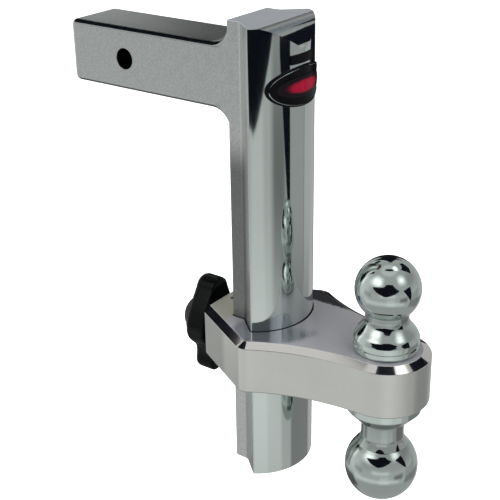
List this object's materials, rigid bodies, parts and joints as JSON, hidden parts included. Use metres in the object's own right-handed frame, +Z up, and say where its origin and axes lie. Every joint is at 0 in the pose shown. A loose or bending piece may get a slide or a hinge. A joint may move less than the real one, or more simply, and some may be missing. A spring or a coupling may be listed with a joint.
{
  "type": "adjustable drop hitch with ball",
  "caption": "Drop hitch for a square receiver: a tall curved post with a sliding ball platform, upper and lower towing balls and a keyed turn-handle lock behind.",
  "frame": {"origin": "centre of the receiver pin hole, on the shank's centre line and its middle plane", "axes": "+X along the shank from the receiver towards the balls, +Y across the hitch, +Z up in use"},
  "size_m": [0.3247, 0.123, 0.378],
  "materials": {
    "satin_aluminium": "satin brushed sides with a polished curved front",
    "machined_aluminium": "fine machined",
    "chromed_steel": "bright chrome plate",
    "zinc_steel": "zinc plated",
    "spring_steel": "plain spring steel",
    "black_plastic": "glossy moulded",
    "black_rubber": "soft satin",
    "black_enamel": "gloss enamel",
    "red_enamel": "gloss enamel",
    "brass": "turned",
    "white_nylon": "matte"
  },
  "bodies": {
    "post": {"drop_post": "satin_aluminium", "front_emblem": "black_enamel", "emblem_inlay": "red_enamel", "front_plate": "black_enamel"},
    "platform": {"ball_platform": "machined_aluminium", "upper_ball": "chromed_steel", "lower_ball": "chromed_steel", "ball_roll_pin": "spring_steel", "lock_housing": "zinc_steel", "housing_set_screw": "spring_steel", "sleeve_circlip": "spring_steel", "thrust_washer": "white_nylon", "detent_ball": "chromed_steel", "detent_spring": "spring_steel"},
    "lock_bolt": {"lock_pin": "zinc_steel", "cam_follower_pin": "spring_steel"},
    "handle": {"turn_handle": "black_plastic", "cam_sleeve": "zinc_steel", "handle_roll_pin": "spring_steel", "key_cylinder": "zinc_steel", "dust_cap_screw": "zinc_steel"},
    "plug": {"key_plug": "brass", "plug_cam": "zinc_steel", "plug_clip": "spring_steel"},
    "cap": {"dust_cap": "black_rubber"}
  },
  "joints": [
    {"name": "platform_height", "type": "slide", "parent": "post", "child": "platform", "axis": [0, 0, 1], "range_m": [-0.0762, 0.127]},
    {"name": "handle_turn", "type": "hinge", "parent": "platform", "child": "handle", "pos_m": [0.1032, 0, -0.224], "axis": [1, 0, 0], "range_deg": [0, 90]},
    {"name": "lock_bolt_slide", "type": "slide", "parent": "platform", "child": "lock_bolt", "axis": [1, 0, 0], "range_m": [0, 0.012]},
    {"name": "key_turn", "type": "hinge", "parent": "handle", "child": "plug", "pos_m": [0.0547, 0, -0.224], "axis": [1, 0, 0], "range_deg": [0, 90]},
    {"name": "dust_cap_swing", "type": "hinge", "parent": "handle", "child": "cap", "pos_m": [0.0447, 0, -0.2122], "axis": [1, 0, 0], "range_deg": [-150, 0]}
  ],
  "couplings": [
    {"joint": "lock_bolt_slide", "follows": "handle_turn", "m_per_rad": 0.007639}
  ]
}
